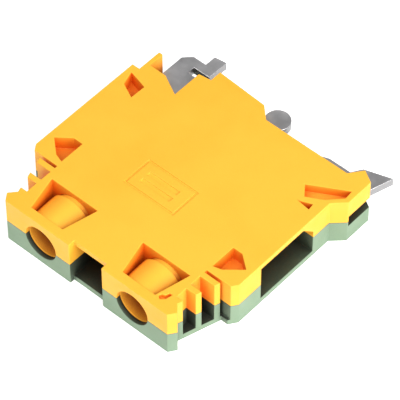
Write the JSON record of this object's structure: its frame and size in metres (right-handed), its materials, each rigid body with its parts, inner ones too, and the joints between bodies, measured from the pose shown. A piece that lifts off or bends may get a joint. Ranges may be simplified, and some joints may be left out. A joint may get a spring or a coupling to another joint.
{
  "type": "din rail earth terminal block",
  "caption": "Slab-shaped green and yellow earth terminal block for a 35 mm rail, with screw clamps, side conductor entries, a steel rail foot and a sliding latch.",
  "frame": {"origin": "centre of the rail seat, at mid-thickness", "axes": "+X across the rail, +Y from the screwdriver side towards the rail, +Z along the rail, out of the yellow wide face"},
  "size_m": [0.0581, 0.0594, 0.0122],
  "materials": {
    "yellow_plastic": "satin moulded polyamide",
    "green_plastic": "satin moulded polyamide",
    "foot_steel": "zinc-plated stamping",
    "screw_steel": "zinc-plated",
    "tinned_copper": "matt tin plate",
    "spring_steel": "bright wire"
  },
  "bodies": {
    "housing": {"yellow_shell": "yellow_plastic", "green_shell": "green_plastic", "screw_guide_left": "yellow_plastic", "screw_guide_right": "yellow_plastic", "current_bar": "tinned_copper", "bond_screw": "screw_steel", "bond_washer": "screw_steel", "bond_nut": "screw_steel", "foot_plate": "foot_steel", "latch_spring": "spring_steel", "latch_rivets": "screw_steel"},
    "screw_left": {"clamp_screw_left": "screw_steel"},
    "screw_right": {"clamp_screw_right": "screw_steel"},
    "yoke_left": {"clamp_yoke_left": "foot_steel"},
    "yoke_right": {"clamp_yoke_right": "foot_steel"},
    "latch": {"foot_latch": "foot_steel"}
  },
  "joints": [
    {"name": "screw_turn_left", "type": "hinge", "parent": "housing", "child": "screw_left", "pos_m": [-0.0124, -0.04, 0], "axis": [0, 1, 0], "range_deg": [0, 2700]},
    {"name": "yoke_lift_left", "type": "slide", "parent": "housing", "child": "yoke_left", "axis": [0, -1, 0], "range_m": [0, 0.006]},
    {"name": "screw_turn_right", "type": "hinge", "parent": "housing", "child": "screw_right", "pos_m": [0.0124, -0.04, 0], "axis": [0, 1, 0], "range_deg": [0, 2700]},
    {"name": "yoke_lift_right", "type": "slide", "parent": "housing", "child": "yoke_right", "axis": [0, -1, 0], "range_m": [0, 0.006]},
    {"name": "latch_slide", "type": "slide", "parent": "housing", "child": "latch", "axis": [1, 0, 0], "range_m": [0, 0.0025], "stiffness_N_per_m": 2000, "springref_m": -0.001, "deforming": ["latch_spring"]}
  ],
  "couplings": [
    {"joint": "screw_turn_left", "follows": "yoke_lift_left", "rad_per_m": 7853.9},
    {"joint": "screw_turn_right", "follows": "yoke_lift_right", "rad_per_m": 7853.9}
  ]
}
